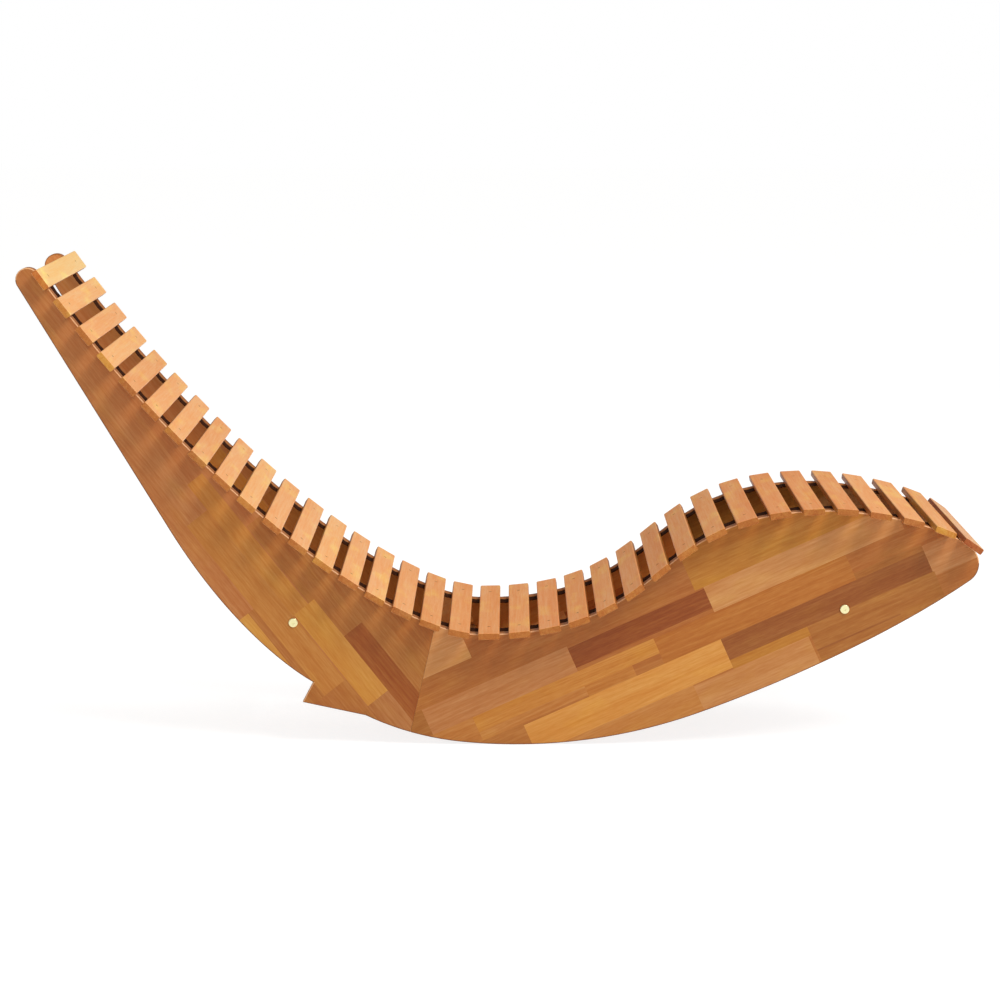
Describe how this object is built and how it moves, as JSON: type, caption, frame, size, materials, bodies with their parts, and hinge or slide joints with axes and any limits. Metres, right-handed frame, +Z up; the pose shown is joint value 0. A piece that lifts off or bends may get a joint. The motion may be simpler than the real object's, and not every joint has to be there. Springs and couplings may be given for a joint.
{
  "type": "rocking chaise lounge",
  "caption": "Rocking chaise lounge of oiled wood: an S-curved slatted bed on two side panels with a rounded lower edge to rock on and a heel spur that stops it at the back.",
  "frame": {"origin": "on the floor, under the middle of the lounge's overall length and width", "axes": "+X from the head end to the foot end, +Y from the sitter's right to the left, +Z up"},
  "size_m": [1.8, 0.6, 0.9002],
  "materials": {
    "slat_wood": "oiled satin",
    "panel_wood": "oiled satin",
    "inner_wood": "oiled",
    "dowel_wood": "plain",
    "webbing": "woven",
    "brass_plate": "pale satin plating",
    "zinc_steel": "zinc plated"
  },
  "bodies": {
    "root": {"slat_01": "slat_wood", "slat_02": "slat_wood", "slat_03": "slat_wood", "slat_04": "slat_wood", "slat_05": "slat_wood", "slat_06": "slat_wood", "slat_07": "slat_wood", "slat_08": "slat_wood", "slat_09": "slat_wood", "slat_10": "slat_wood", "slat_11": "slat_wood", "slat_12": "slat_wood", "slat_13": "slat_wood", "slat_14": "slat_wood", "slat_15": "slat_wood", "slat_16": "slat_wood", "slat_17": "slat_wood", "slat_18": "slat_wood", "slat_19": "slat_wood", "slat_20": "slat_wood", "slat_21": "slat_wood", "slat_22": "slat_wood", "slat_23": "slat_wood", "slat_24": "slat_wood", "slat_25": "slat_wood", "slat_26": "slat_wood", "slat_27": "slat_wood", "slat_28": "slat_wood", "slat_29": "slat_wood", "slat_30": "slat_wood", "slat_31": "slat_wood", "slat_32": "slat_wood", "slat_33": "slat_wood", "slat_34": "slat_wood", "slat_35": "slat_wood", "right_back_panel": "panel_wood", "right_front_panel": "panel_wood", "left_back_panel": "panel_wood", "left_front_panel": "panel_wood", "back_rail": "inner_wood", "front_rail": "inner_wood", "right_joint_batten": "inner_wood", "left_joint_batten": "inner_wood", "right_upper_dowel": "dowel_wood", "right_lower_dowel": "dowel_wood", "left_upper_dowel": "dowel_wood", "left_lower_dowel": "dowel_wood", "right_strap": "webbing", "left_strap": "webbing", "right_back_bolt": "brass_plate", "right_front_bolt": "brass_plate", "left_back_bolt": "brass_plate", "left_front_bolt": "brass_plate", "right_back_barrel_nut": "zinc_steel", "right_front_barrel_nut": "zinc_steel", "left_back_barrel_nut": "zinc_steel", "left_front_barrel_nut": "zinc_steel"}
  },
  "joints": []
}
